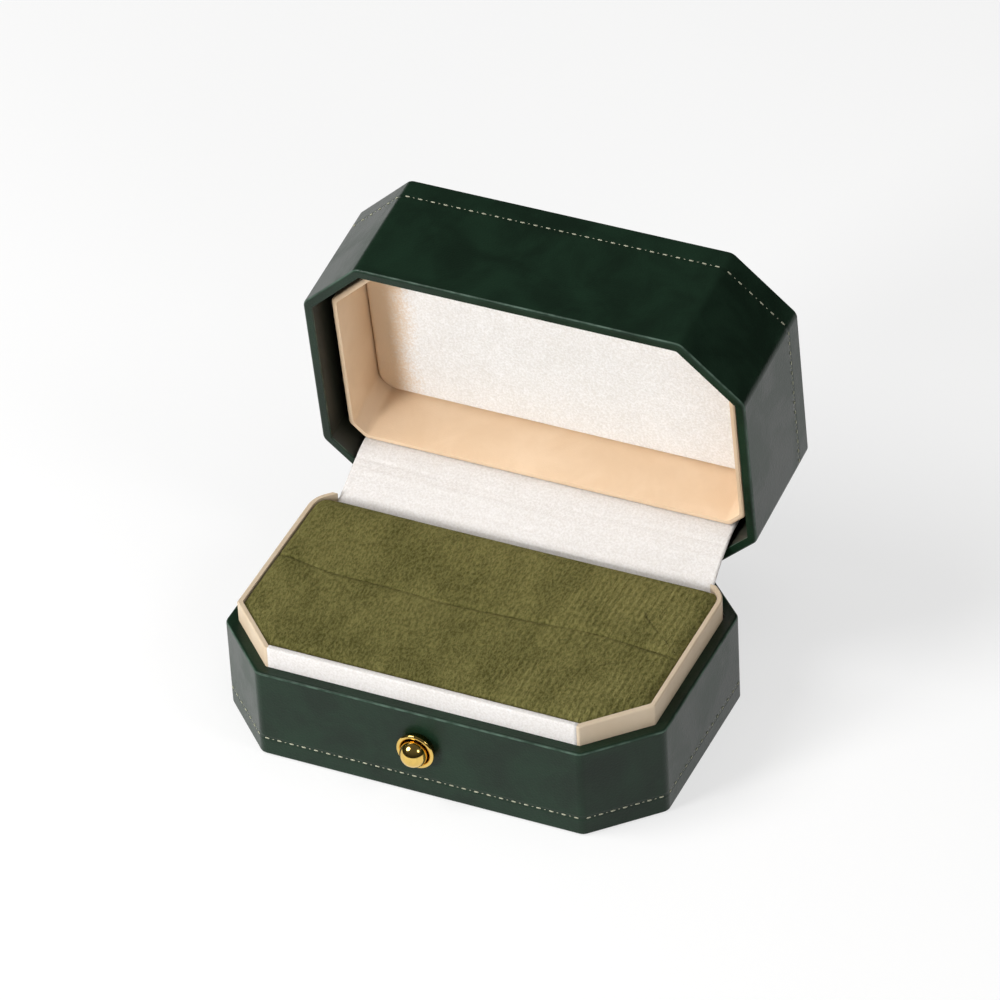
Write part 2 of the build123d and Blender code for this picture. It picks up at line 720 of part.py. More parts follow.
def latch_bracket():
    """Angle bracket behind the spring, riveted to the floor."""
    back = BRACKET_FRONT + BRACKET_T
    low = FLOOR_TOP
    high = BUTTON_Z + BRACKET_ABOVE
    upright = block(-BRACKET_HALF, BRACKET_HALF, BRACKET_FRONT, back, low, high)
    foot_end = BRACKET_FRONT + BRACKET_FOOT
    bracket = upright + block(-BRACKET_HALF, BRACKET_HALF, BRACKET_FRONT, foot_end,
                              low, low + BRACKET_T)
    bracket -= rod_y(0, FRONT, 0, BUTTON_Z, TAIL_R + TAIL_FIT)
    for x in (-BRACKET_RIVET_X, BRACKET_RIVET_X):
        bracket -= rod_z(x, rivet_y(), 0, low + 1, RIVET_R + SCREW_FIT)
    return bracket


def rivet_y():
    """Y of the rivets in the bracket's foot."""
    return BRACKET_FRONT + (BRACKET_T + BRACKET_FOOT) / 2


def bracket_rivets():
    """Flush rivets through the bracket's foot into the floor."""
    top = FLOOR_TOP + BRACKET_T
    places = (-BRACKET_RIVET_X, BRACKET_RIVET_X)
    return [rod_z(x, rivet_y(), FLOOR_TOP - RIVET_DEPTH, top, RIVET_R) for x in places]


def latch_spring():
    """Leaf spring welded to the bracket, its forked end against the ring."""
    ring_side = RING_BACK + SPRING_T / 2
    bracket_side = BRACKET_FRONT - SPRING_T / 2
    line = [(ring_side, BUTTON_Z + SPRING_ABOVE), (ring_side, BUTTON_Z - SPRING_ABOVE)]
    line += [(bracket_side, FLOOR_TOP + SPRING_FOOT), (bracket_side, FLOOR_TOP)]
    leaf = side_profile(bent_strip(line, SPRING_T), SPRING_HALF)
    fork = TAIL_R + FORK_GAP
    return leaf - block(-fork, fork, FRONT, BRACKET_FRONT, BUTTON_Z - fork, TOP)


def export(name, shape):
    """Write one node's file, a list of solids as one compound."""
    if isinstance(shape, list):
        shape = Compound(children=shape)
    export_step(shape, f"parts/{name}.step")


def main():
    os.makedirs("parts", exist_ok=True)
    export("base_shell", base_shell())
    export("base_wrap", base_wrap())
    export("base_sole", base_sole())
    export("collar_frame", collar_frame())
    export("collar_facing", collar_facing())
    export("bay_wall", bay_wall())
    export("cushion_riser", cushion_riser())
    export("cushion_board", cushion_board())
    export("cushion_front", cushion_roll(True))
    export("cushion_back", cushion_roll(False))
    export("hinge_leaf_base", hinge_leaf_base())
    export("hinge_pin", hinge_pin())
    export("hinge_screws_base", hinge_screws_base())
    export("hinge_cover", hinge_cover())
    export("button_cup", button_cup())
    export("latch_bracket", latch_bracket())
    export("bracket_rivets", bracket_rivets())
    export("latch_spring", latch_spring())
    export("button_knob", button_knob())
    export("latch_plate", latch_plate())
    export("latch_magnet", latch_magnet())
    export("latch_ring", latch_ring())
    export("lid_shell", lid_shell())
    export("lid_wrap", lid_wrap())
    export("lid_tray", lid_tray())
    export("lid_pad", lid_pad())
    export("tray_spacer", tray_spacer())
    export("lid_keeper", lid_keeper())
    export("hinge_leaf_lid", hinge_leaf_lid())
    export("hinge_screws_lid", hinge_screws_lid())


main()
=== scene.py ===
import json
import math

import bmesh
import bpy
import numpy as np
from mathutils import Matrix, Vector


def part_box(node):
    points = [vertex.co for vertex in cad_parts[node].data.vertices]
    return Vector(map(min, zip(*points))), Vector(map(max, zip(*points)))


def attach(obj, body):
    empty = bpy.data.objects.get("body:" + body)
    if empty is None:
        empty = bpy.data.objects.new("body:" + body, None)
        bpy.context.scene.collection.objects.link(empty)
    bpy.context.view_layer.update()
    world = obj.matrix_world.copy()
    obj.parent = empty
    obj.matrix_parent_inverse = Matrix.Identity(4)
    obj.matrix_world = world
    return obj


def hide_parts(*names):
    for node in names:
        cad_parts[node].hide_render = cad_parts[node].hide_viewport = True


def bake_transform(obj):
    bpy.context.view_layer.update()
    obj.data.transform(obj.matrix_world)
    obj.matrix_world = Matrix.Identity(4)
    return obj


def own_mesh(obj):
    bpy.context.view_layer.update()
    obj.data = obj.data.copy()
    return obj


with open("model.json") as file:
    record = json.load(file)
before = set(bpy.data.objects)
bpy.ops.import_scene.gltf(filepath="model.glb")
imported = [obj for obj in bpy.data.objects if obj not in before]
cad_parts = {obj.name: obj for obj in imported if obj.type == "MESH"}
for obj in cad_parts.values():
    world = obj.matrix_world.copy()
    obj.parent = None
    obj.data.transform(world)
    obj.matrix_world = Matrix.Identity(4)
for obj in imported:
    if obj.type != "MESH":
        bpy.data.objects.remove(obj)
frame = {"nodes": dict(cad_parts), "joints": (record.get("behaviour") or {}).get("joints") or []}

bl_info = {
    "name": "Ring Box",
    "version": (1, 0, 0),
    "blender": (4, 5, 0),
    "location": "3D View > Sidebar > Ring Box",
    "description": "Dresses a hinged ring box in leatherette, velvet, suede, thread and brass",
    "category": "Object",
}

MM = 0.001
CASE_LOW, CASE_HIGH = (np.array(corner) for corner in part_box("base_wrap"))
LENGTH = CASE_HIGH[0] - CASE_LOW[0]
DEPTH = CASE_HIGH[1] - CASE_LOW[1]
RIM = CASE_HIGH[2]
HINGE = next(joint for joint in frame["joints"] if joint["name"] == "lid_hinge")
PIN = np.array(HINGE["pos_m"])
OPEN_ANGLE = math.radians(HINGE["range_deg"][1])
LID_UP = np.array([0.0, math.sin(OPEN_ANGLE), math.cos(OPEN_ANGLE)])  # the shut lid's upright


def linear(red, green, blue):
    """A colour given as screen values from 0 to 255, in linear light."""
    share = np.array([red, green, blue]) / 255
    lit = np.where(share <= 0.04045, share / 12.92, ((share + 0.055) / 1.055) ** 2.4)
    return tuple(float(value) for value in lit)


def length_property(name, description, millimetres):
    return bpy.props.FloatProperty(name=name, description=description, default=millimetres * MM,
                                   min=0.0, unit="LENGTH", precision=5)


def colour_property(name, description, screen):
    return bpy.props.FloatVectorProperty(name=name, description=description, subtype="COLOR",
                                         size=3, min=0.0, max=1.0, default=linear(*screen))


class RingBoxSizes(bpy.types.PropertyGroup):
    """Sizes of the pieces that are added to the solids."""
    corner_x: length_property("Corner along X", "Length of a cut corner along the box", 13.4)
    corner_y: length_property("Corner along Y", "Length of a cut corner across the box", 13.2)
    cushion_inset: length_property("Cushion inset", "From the case's outside to the cushion", 3.9)
    shoulder: length_property("Shoulder", "Height of the cushion's edge above the ground", 25.95)
    crown: length_property("Crown", "Rise of the cushion from its edge to its middle", 1.3)
    crown_width: length_property("Crown width", "Width over which the cushion rises", 3.6)
    slit_round: length_property("Slit rounding", "Width of the rounding beside the slit", 1.6)
    dent_depth: length_property("Dents", "Depth of the slow dents in the cushion's top", 0.28)
    rib_pitch: length_property("Rib pitch", "Distance between the velvet's fine ribs", 1.5)
    base_pitch: length_property("Base pitch", "Distance from one stitch to the next, base", 2.85)
    lid_pitch: length_property("Lid pitch", "Distance from one stitch to the next, lid", 2.9)
    stitch_length: length_property("Stitch length", "Length of one long stitch", 1.05)
    stitch_width: length_property("Stitch width", "Width of the thread", 0.38)
    base_row: length_property("Base row", "Height of the stitches above the underside", 4.6)
    lid_row: length_property("Lid row", "Distance of the stitches from the shut box's top", 5.2)
    strip_thickness: length_property("Strip thickness", "Thickness of the suede at the hinge", 0.45)


class RingBoxColours(bpy.types.PropertyGroup):
    """Colours of the finishes."""
    leatherette: colour_property("Leatherette", "Outside of the box", (22, 43, 29))
    # used for the random patches and for the painted shade in the groove under the stitches
    leatherette_dark: colour_property("Leatherette, dark", "Patches of the outside", (16, 32, 21))
    # colour of the painted highlight along the rims' rounding
    leatherette_rim_highlight: colour_property("Leatherette, rubbed", "Rims of the outside", (80, 100, 88))
    velvet: colour_property("Velvet", "Ring cushion", (139, 133, 81))
    velvet_dark: colour_property("Velvet, dark", "Hollows and turned nap", (68, 67, 31))
    suede: colour_property("Suede", "Strip and the collar's front", (226, 223, 221))
    suede_dark: colour_property("Suede, dark", "Specks in the white suede", (202, 196, 190))
    # painted light: the pad's suede colours are the strip's white suede made brighter, to make up
    # for the shade in the lid's tray
    pad: colour_property("Pad suede", "White suede of the lid's pad", (243, 242, 242))
    pad_dark: colour_property("Pad suede, dark", "Specks in the pad's suede", (214, 210, 204))
    tan: colour_property("Tan leatherette", "Tray in the lid", (230, 202, 170))
    cream: colour_property("Cream leatherette", "Collar in the base", (208, 190, 165))
    thread: colour_property("Thread", "Saddle stitches", (172, 172, 150))
    brass: colour_property("Brass", "Button and its cup", (232, 196, 110))


def sizes():
    return bpy.context.scene.ring_box_sizes


def colours():
    return bpy.context.scene.ring_box_colours


# ---------------------------------------------------------------- shapes

def corner_line(inset):
    """Length of a cut corner's slope, and how far from the middle its line lies when it is
    moved in by inset."""
    s = sizes()
    run = math.hypot(s.corner_x, s.corner_y)
    return run, (s.corner_y * LENGTH / 2 + s.corner_x * (DEPTH / 2 - s.corner_y)) / run - inset


def half_width(inset, y):
    """Half the length of the case's octagon, moved in by inset, at depth y: the nearer of
    the straight end and the line of the cut corner."""
    s = sizes()
    run, reach = corner_line(inset)
    corner = (reach * run - s.corner_x * np.abs(y)) / s.corner_y
    return np.minimum(LENGTH / 2 - inset, corner)


def side_end(inset):
    """Depth at which the straight end of the moved-in octagon meets its cut corner."""
    s = sizes()
    run, reach = corner_line(inset)
    return (reach * run - s.corner_y * (LENGTH / 2 - inset)) / s.corner_x


def plan(inset, low=-1.0, high=1.0):
    """Corners of the octagon moved in by inset and kept between two depths, as an
    anticlockwise array: the half width at each depth, and its mirror image."""
    low = max(low, inset - DEPTH / 2)
    high = min(high, DEPTH / 2 - inset)
    end = side_end(inset)
    depths = np.unique(np.clip([low, -end, end, high], low, high))
    right = np.stack([half_width(inset, depths), depths], axis=1)
    return np.concatenate([right, right[::-1] * (-1, 1)])


def rounded(corners, radius, steps=6):
    """A convex outline whose corners are arcs of one radius, or of one for each corner. Each
    arc turns from one edge's outward normal to the next, about a point that is the radius
    inside both edges."""
    radius = np.broadcast_to(radius, len(corners))
    ahead = np.roll(corners, -1, axis=0) - corners
    ahead /= np.linalg.norm(ahead, axis=1)[:, None]
    behind = np.roll(ahead, 1, axis=0)
    start = np.arctan2(-behind[:, 0], behind[:, 1])
    turn = np.arctan2(behind[:, 0] * ahead[:, 1] - behind[:, 1] * ahead[:, 0],
                      (behind * ahead).sum(axis=1))
    back = radius * np.tan(turn / 2)
    centre = corners - behind * back[:, None]
    centre += np.stack([-behind[:, 1], behind[:, 0]], axis=1) * radius[:, None]
    angle = start[:, None] + turn[:, None] * np.linspace(0, 1, steps + 1)
    arc = np.stack([np.cos(angle), np.sin(angle)], axis=2) * radius[:, None, None]
    return (centre[:, None] + arc).reshape(-1, 2)


def evenly(path, count):
    """count points spaced evenly by length along a closed path, by linear interpolation."""
    loop = np.concatenate([path, path[:1]])
    length = np.concatenate([[0], np.cumsum(np.linalg.norm(np.diff(loop, axis=0), axis=1))])
    at = np.linspace(0, length[-1], count, endpoint=False)
    return np.stack([np.interp(at, length, loop[:, k]) for k in range(loop.shape[1])], axis=1)


def opened(points):
    """Points of the shut lid turned about the hinge pin to where they lie when it is open."""
    local = points - PIN
    y = local[..., 1] * math.cos(OPEN_ANGLE) + local[..., 2] * math.sin(OPEN_ANGLE)
    z = -local[..., 1] * math.sin(OPEN_ANGLE) + local[..., 2] * math.cos(OPEN_ANGLE)
    return np.stack([local[..., 0], y, z], axis=-1) + PIN


def waves(x, y, rows):
    """A gentle uneven field between about -1 and 1: a sum of plane sine waves, one for each
    row of (waves per metre along X, waves per metre along Y, phase, share)."""
    field = np.zeros(np.broadcast(x, y).shape)
    for along_x, along_y, phase, share in rows:
        field += share * np.sin(2 * math.pi * (along_x * x + along_y * y) + phase)
    return field


def closed_surface(name, rings, last_face=True):
    """A closed surface through a stack of rings, given as an array of (ring, point, xyz). Each
    ring joins the next with four-sided faces, and one face closes each end, unless the last
    ring's points meet in pairs. Points that meet are merged, and the faces are turned outwards."""
    count, around = rings.shape[:2]
    ring = np.arange(count - 1)[:, None] * around
    here = np.arange(around)[None]
    there = (here + 1) % around
    quads = np.stack([ring + here, ring + there, ring + around + there, ring + around + here],
                     axis=-1).reshape(-1, 4)
    ends = [list(range(around))[::-1], list(range((count - 1) * around, count * around))]
    mesh = bpy.data.meshes.new(name)
    mesh.from_pydata(rings.reshape(-1, 3), [], quads.tolist() + ends[:1 + last_face])
    return finished(name, mesh)


def finished(name, mesh, merge=2e-6):
    """The object for a mesh, with doubles merged, faces turned outwards and smooth shading."""
    work = bmesh.new()
    work.from_mesh(mesh)
    bmesh.ops.remove_doubles(work, verts=work.verts, dist=merge)
    bmesh.ops.dissolve_degenerate(work, edges=work.edges, dist=merge)
    bmesh.ops.recalc_face_normals(work, faces=work.faces)
    work.to_mesh(mesh)
    work.free()
    mesh.polygons.foreach_set("use_smooth", np.ones(len(mesh.polygons), bool))
    piece = bpy.data.objects.new(name, mesh)
    bpy.context.scene.collection.objects.link(piece)
    return piece


def quarter(distance, width):
    """A quarter ellipse: 0 at the edge and 1 from width inwards."""
    share = np.clip(distance / width, 0, 1)
    return np.sqrt(1 - (1 - share) ** 2)


def dress(piece, body, material, nodes=()):
    """Gives a new piece its material and body, and hides the solids it stands for."""
    piece.data.materials.clear()
    piece.data.materials.append(material)
    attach(piece, body)
    if nodes:
        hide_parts(*nodes)


def paint(material, *names):
    """Puts a material on solids that stay as they are."""
    for name in names:
        for slot in frame["nodes"][name].material_slots:
            slot.material = material


# ---------------------------------------------------------------- finishes

def add(tree, kind, links=None, **settings):
    """A node with its settings, each input linked to a socket or set to a value."""
    made = tree.nodes.new(kind)
    for key, value in settings.items():
        setattr(made, key, value)
    for key, value in (links or {}).items():
        socket = made.inputs[key]
        if isinstance(value, bpy.types.NodeSocket):
            tree.links.new(value, socket)
        else:
            socket.default_value = value
    return made


def maths(tree, operation, *values):
    """The result of one calculation on sockets or numbers."""
    return add(tree, "ShaderNodeMath", dict(enumerate(values)), operation=operation).outputs[0]


def ramp(tree, value, low, high, to_low=0.0, to_high=1.0):
    """A value carried from one range smoothly to another."""
    made = add(tree, "ShaderNodeMapRange", {"Value": value, "From Min": low, "From Max": high,
                                            "To Min": to_low, "To Max": to_high})
    made.interpolation_type = "SMOOTHSTEP"
    return made.outputs["Result"]


def mixed(tree, factor, first, second):
    """Two colours mixed by a factor. Inputs 6 and 7 are the mix node's two colours."""
    made = add(tree, "ShaderNodeMix", data_type="RGBA")
    for place, value in ((0, factor), (6, first), (7, second)):
        socket = made.inputs[place]
        if isinstance(value, bpy.types.NodeSocket):
            tree.links.new(value, socket)
        elif isinstance(value, float):
            socket.default_value = value
        else:
            socket.default_value = (*value, 1.0)
    return made.outputs[2]


def noise(tree, point, size, detail=2.0, roughness=0.5, distortion=0.0):
    """Noise whose features are about size metres across."""
    made = add(tree, "ShaderNodeTexNoise", {"Vector": point, "Scale": 1 / size, "Detail": detail,
                                            "Roughness": roughness, "Distortion": distortion})
    return made.outputs["Fac"]


def group(name, outputs):
    """An empty node group that takes a place and the size of its detail and puts out values,
    with the sockets of its two end nodes."""
    tree = bpy.data.node_groups.new(name, "ShaderNodeTree")
    tree.interface.new_socket("Point", in_out="INPUT", socket_type="NodeSocketVector")
    tree.interface.new_socket("Size", in_out="INPUT", socket_type="NodeSocketFloat")
    for label in outputs:
        tree.interface.new_socket(label, in_out="OUTPUT", socket_type="NodeSocketFloat")
    return tree, tree.nodes.new("NodeGroupInput").outputs, tree.nodes.new("NodeGroupOutput").inputs


def leather_group():
    """Leather grain: small cells with sunk edges over a slow unevenness, and slow patches."""
    tree, given, put = group("leather_grain", ["Height", "Patches"])
    scale = maths(tree, "DIVIDE", 1.0, given["Size"])
    bent = add(tree, "ShaderNodeTexNoise", {"Vector": given["Point"], "Scale": scale,
                                            "Detail": 1.0})
    push = add(tree, "ShaderNodeVectorMath", {0: bent.outputs["Color"], 3: 0.4 * MM},
               operation="SCALE")
    point = add(tree, "ShaderNodeVectorMath", {0: given["Point"], 1: push.outputs[0]},
                operation="ADD")
    cells = add(tree, "ShaderNodeTexVoronoi", {"Vector": point.outputs[0], "Scale": scale},
                feature="DISTANCE_TO_EDGE")
    bead = ramp(tree, cells.outputs["Distance"], 0.0, 0.28)
    slow = noise(tree, given["Point"], 0.004, 3.0)
    height = maths(tree, "ADD", maths(tree, "MULTIPLY", bead, 0.6),
                   maths(tree, "MULTIPLY", slow, 0.8))
    tree.links.new(height, put["Height"])
    patches = noise(tree, given["Point"], 0.012, 4.0, 0.6, 0.4)
    tree.links.new(ramp(tree, patches, 0.32, 0.68), put["Patches"])


def nap_group():
    """Short nap: fine specks, and slow patches where the nap lies another way."""
    tree, given, put = group("nap", ["Specks", "Patches"])
    scale = maths(tree, "DIVIDE", 1.0, given["Size"])
    fine = add(tree, "ShaderNodeTexNoise", {"Vector": given["Point"], "Scale": scale,
                                            "Detail": 3.0, "Roughness": 0.65})
    tree.links.new(ramp(tree, fine.outputs["Fac"], 0.3, 0.7), put["Specks"])
    patches = noise(tree, given["Point"], 0.009, 3.0, 0.55, 0.6)
    tree.links.new(ramp(tree, patches, 0.35, 0.65), put["Patches"])


def textured(tree, name, point, size):
    """The outputs of a shared group at a place, with the size of its detail."""
    made = add(tree, "ShaderNodeGroup", node_tree=bpy.data.node_groups[name])
    tree.links.new(point, made.inputs["Point"])
    made.inputs["Size"].default_value = size
    return made.outputs


def blank(name):
    """An empty material: its node tree, its Principled shader and its object coordinates."""
    material = bpy.data.materials.new(name)
    material.use_nodes = True
    tree = material.node_tree
    tree.nodes.clear()
    shader = add(tree, "ShaderNodeBsdfPrincipled")
    add(tree, "ShaderNodeOutputMaterial", {"Surface": shader.outputs[0]})
    point = add(tree, "ShaderNodeTexCoord").outputs["Object"]
    return material, tree, shader, point


def bump(tree, shader, height, distance):
    """Relief: height times distance, in metres, read as bumps of the surface."""
    made = add(tree, "ShaderNodeBump", {"Height": height, "Distance": distance})
    tree.links.new(made.outputs[0], shader.inputs["Normal"])


def leatherette(name, upright, row, rim):
    """Dark green leatherette with fine grain, a shallow groove under its row of stitches that is
    painted darker as shade, and a painted highlight along the rim's rounding, uneven along the rim.
    upright is the wall's own upright direction, and row and rim are the places of the stitches and
    of the rim's rounding along it."""
    c = colours()
    material, tree, shader, point = blank(name)
    grain = textured(tree, "leather_grain", point, 0.75 * MM)
    along = add(tree, "ShaderNodeVectorMath", {0: point, 1: tuple(upright)},
                operation="DOT_PRODUCT").outputs["Value"]
    off = maths(tree, "ABSOLUTE", maths(tree, "SUBTRACT", along, row))
    flat = ramp(tree, off, 0.15 * MM, 0.75 * MM)
    colour = mixed(tree, grain["Patches"], c.leatherette_dark, c.leatherette)
    # painted shade: darker within 0.6 mm of the stitches' row, in the groove
    colour = mixed(tree, ramp(tree, off, 0.0, 0.6 * MM, 0.35, 0.0), colour, c.leatherette_dark)
    # painted highlight: the factor below lightens a thin line along the rim's rounding, unevenly
    # along the rim
    near_rim = maths(tree, "ABSOLUTE", maths(tree, "SUBTRACT", along, rim))
    rubbed = maths(tree, "MULTIPLY", ramp(tree, near_rim, 0.04 * MM, 0.26 * MM, 1.0, 0.0),
                   ramp(tree, noise(tree, point, 0.003, 3.0), 0.35, 0.65, 0.25, 0.9))
    colour = mixed(tree, rubbed, colour, c.leatherette_rim_highlight)
    tree.links.new(colour, shader.inputs["Base Color"])
    roughness = ramp(tree, grain["Patches"], 0.0, 1.0, 0.28, 0.36)
    tree.links.new(roughness, shader.inputs["Roughness"])
    shader.inputs["Specular IOR Level"].default_value = 0.24
    height = maths(tree, "ADD", maths(tree, "MULTIPLY", grain["Height"], 0.35), flat)
    bump(tree, shader, height, 0.06 * MM)
    return material


def smooth_leatherette(name, colour, roughness):
    """Pale lining leatherette, nearly smooth, with a faint tone change."""
    material, tree, shader, point = blank(name)
    grain = textured(tree, "leather_grain", point, 0.5 * MM)
    darker = tuple(value * share for value, share in zip(colour, (0.93, 0.90, 0.86)))
    tree.links.new(mixed(tree, grain["Patches"], darker, colour), shader.inputs["Base Color"])
    shader.inputs["Roughness"].default_value = roughness
    bump(tree, shader, grain["Height"], 0.012 * MM)
    return material


def suede(name, pale, dark, grain_size, depth, patchiness, shaded_end=None):
    """White suede: pale nap with fine warm specks. Given a colour for the end, it paints shade of
    that colour over the left-hand end of the box, fading out towards the middle with an edge that
    the nap's specks and patches make ragged."""
    # X at which the painted shade at the left-hand end is full, and X at which it is gone
    shade_full_x, whole = -38.0 * MM, -30.5 * MM
    material, tree, shader, point = blank(name)
    nap = textured(tree, "nap", point, grain_size)
    tone = maths(tree, "MULTIPLY", maths(tree, "SUBTRACT", 1.0, nap["Specks"]), 0.6)
    tone = maths(tree, "ADD", tone, maths(tree, "MULTIPLY", nap["Patches"], patchiness))
    colour = mixed(tree, tone, tuple(pale), tuple(dark))
    if shaded_end is not None:
        x = add(tree, "ShaderNodeSeparateXYZ", {0: point}).outputs["X"]
        edge = maths(tree, "ADD", x, maths(tree, "MULTIPLY", nap["Specks"], 2.5 * MM))
        edge = maths(tree, "ADD", edge, maths(tree, "MULTIPLY", nap["Patches"], 1.5 * MM))
        painted_shade = ramp(tree, edge, shade_full_x, whole, 1.0, 0.0)
        colour = mixed(tree, painted_shade, colour, tuple(shaded_end))
    tree.links.new(colour, shader.inputs["Base Color"])
    shader.inputs["Roughness"].default_value = 0.9
    shader.inputs["Specular IOR Level"].default_value = 0.2
    shader.inputs["Sheen Weight"].default_value = 0.15
    bump(tree, shader, nap["Specks"], depth)
    return material


def velvet():
    """Olive velvet: fine mottled nap brushed across the box, soft patches of turned nap, and
    fine ribs across the box that show towards its right-hand end and fade away to the left."""
    c, s = colours(), sizes()
    material, tree, shader, point = blank("olive_velvet")
    brushed = add(tree, "ShaderNodeVectorMath", {0: point, 1: (1.0, 0.5, 1.0)},
                  operation="MULTIPLY")
    nap = textured(tree, "nap", brushed.outputs[0], 0.5 * MM)
    split = add(tree, "ShaderNodeSeparateXYZ", {0: point}).outputs
    sway = maths(tree, "MULTIPLY", noise(tree, point, 0.008, 2.0), 1.1)
    turns = maths(tree, "ADD", maths(tree, "DIVIDE", split["X"], s.rib_pitch), sway)
    ribs = ramp(tree, maths(tree, "SINE", maths(tree, "MULTIPLY", turns, 2 * math.pi)), -0.8, 0.8)
    shown = ramp(tree, split["X"], 0.0, 0.3 * LENGTH, 0.22, 1.0)
    uneven = ramp(tree, noise(tree, point, 0.012, 2.0), 0.3, 0.6, 0.3, 1.0)
    ribs = maths(tree, "MULTIPLY", ribs, maths(tree, "MULTIPLY", shown, uneven))
    tone = maths(tree, "ADD", maths(tree, "MULTIPLY", nap["Patches"], 0.2),
                 maths(tree, "MULTIPLY", nap["Specks"], 0.5))
    tone = maths(tree, "ADD", tone, maths(tree, "MULTIPLY", ribs, 0.18))
    tree.links.new(mixed(tree, tone, c.velvet_dark, c.velvet), shader.inputs["Base Color"])
    shader.inputs["Roughness"].default_value = 0.95
    shader.inputs["Specular IOR Level"].default_value = 0.1
    shader.inputs["Sheen Weight"].default_value = 0.3
    shader.inputs["Sheen Roughness"].default_value = 0.5
    shader.inputs["Sheen Tint"].default_value = (*c.velvet, 1.0)
    height = maths(tree, "ADD", maths(tree, "MULTIPLY", ribs, 0.8), nap["Specks"])
    bump(tree, shader, height, 0.2 * MM)
    return material


def metal(name, colour, roughness, scratch):
    """Polished metal with faint rubbing."""
    material, tree, shader, point = blank(name)
    worn = ramp(tree, noise(tree, point, 0.0015, 4.0, 0.6), 0.35, 0.7)
    darker = tuple(value * 0.9 for value in colour)
    tree.links.new(mixed(tree, worn, colour, darker), shader.inputs["Base Color"])
    rubbed = ramp(tree, worn, 0.0, 1.0, roughness, roughness + scratch)
    tree.links.new(rubbed, shader.inputs["Roughness"])
    shader.inputs["Metallic"].default_value = 1.0
    return material


def plain(name, colour, roughness, grain_size, depth):
    """Moulded, card or felt surface with an even fine texture."""
    material, tree, shader, point = blank(name)
    specks = noise(tree, point, grain_size, 3.0, 0.6)
    darker = tuple(value * 0.8 for value in colour)
    tree.links.new(mixed(tree, specks, darker, colour), shader.inputs["Base Color"])
    shader.inputs["Roughness"].default_value = roughness
    bump(tree, shader, specks, depth)
    return material


# ---------------------------------------------------------------- operators

class RINGBOX_OT_case(bpy.types.Operator):
    """Dark green leatherette on the base and the lid"""
    bl_idname = "ringbox.case"
    bl_label = "Leatherette case"

    def execute(self, context):
        s = sizes()
        leather_group()
        nap_group()
        rounding = 0.3 * MM  # depth of the rims' rounding, along which the painted highlight runs
        base = leatherette("green_leatherette_base", (0, 0, 1), s.base_row, RIM - rounding)
        paint(base, "base_wrap")
        rise = float(PIN @ LID_UP) - PIN[2]
        lid = leatherette("green_leatherette_lid", LID_UP, lid_row_height() + rise,
                          RIM + rounding + rise)
        paint(lid, "lid_wrap")
        return {"FINISHED"}


def lid_row_height():
    """Height of the lid's row of stitches in the shut box: the lid's own height is the spread
    of its solid along its upright."""
    points = np.array([vertex.co for vertex in frame["nodes"]["lid_wrap"].data.vertices])
    along = (points - PIN) @ LID_UP
    return PIN[2] + along.max() - sizes().lid_row


class RINGBOX_OT_lining(bpy.types.Operator):
    """Cream collar, tan lid tray and the card, foam and felt that are mostly hidden"""
    bl_idname = "ringbox.lining"
    bl_label = "Linings"

    def execute(self, context):
        c = colours()
        paint(smooth_leatherette("cream_leatherette", tuple(c.cream), 0.5), "collar_frame")
        paint(smooth_leatherette("tan_leatherette", tuple(c.tan), 0.5), "lid_tray")
        paint(plain("grey_card", linear(150, 138, 118), 0.9, 0.6 * MM, 0.03 * MM),
              "bay_wall", "cushion_riser", "cushion_board")
        paint(plain("pale_foam", linear(205, 200, 190), 0.95, 0.5 * MM, 0.1 * MM), "tray_spacer")
        paint(plain("dark_felt", linear(60, 62, 60), 0.98, 0.35 * MM, 0.12 * MM), "base_sole")
        paint(plain("moulded_shell", linear(42, 43, 34), 0.6, 0.5 * MM, 0.015 * MM),
              "base_shell", "lid_shell")
        return {"FINISHED"}


class RINGBOX_OT_fittings(bpy.types.Operator):
    """Brass hinge and the steel pieces of the latch"""
    bl_idname = "ringbox.fittings"
    bl_label = "Hinge and latch"

    def execute(self, context):
        hinge = metal("hinge_brass", linear(205, 170, 105), 0.3, 0.12)
        steel = metal("latch_steel", linear(190, 190, 186), 0.3, 0.15)
        paint(hinge, "hinge_leaf_base", "hinge_leaf_lid", "hinge_screws_base", "hinge_screws_lid")
        paint(steel, "hinge_pin", "latch_bracket", "bracket_rivets", "latch_spring", "latch_plate",
              "latch_ring", "latch_magnet", "lid_keeper")
        return {"FINISHED"}


# rows for waves(): slow dents of a padded top
DENTS = ((11, 9, 0.4, 0.4), (-17, 21, 2.1, 0.3), (31, -13, 4.0, 0.2), (8, 37, 5.2, 0.25),
         (43, 25, 1.3, 0.12))
# rows for waves(): along the slit, how far its edge falls
SLIT_WAVES = ((31, 0, 0.4, 0.6), (73, 0, 2.2, 0.4))
# the slit's line: it strays a little as the two halves press together
SLIT_LINE = np.array([(-47, -1.0), (-44, -1.4), (-40, -2.1), (-34, -3.0), (-27, -2.9), (-17, -3.1),
                      (-7, -3.8), (4, -3.2), (16, -2.6), (28, -1.8), (37, -2.5), (47, -3.4)]) * MM


def slit_line(x):
    """Depth of the slit at x: straight runs between listed points, averaged over 6 mm."""
    offsets = np.linspace(-3, 3, 13) * MM
    return np.interp(x[..., None] + offsets, *SLIT_LINE.T).mean(axis=-1)


def cushion_limits():
    """Front and back edges of the whole cushion, in depth."""
    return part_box("collar_facing")[1][1] + 0.15 * MM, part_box("cushion_back")[1][1]


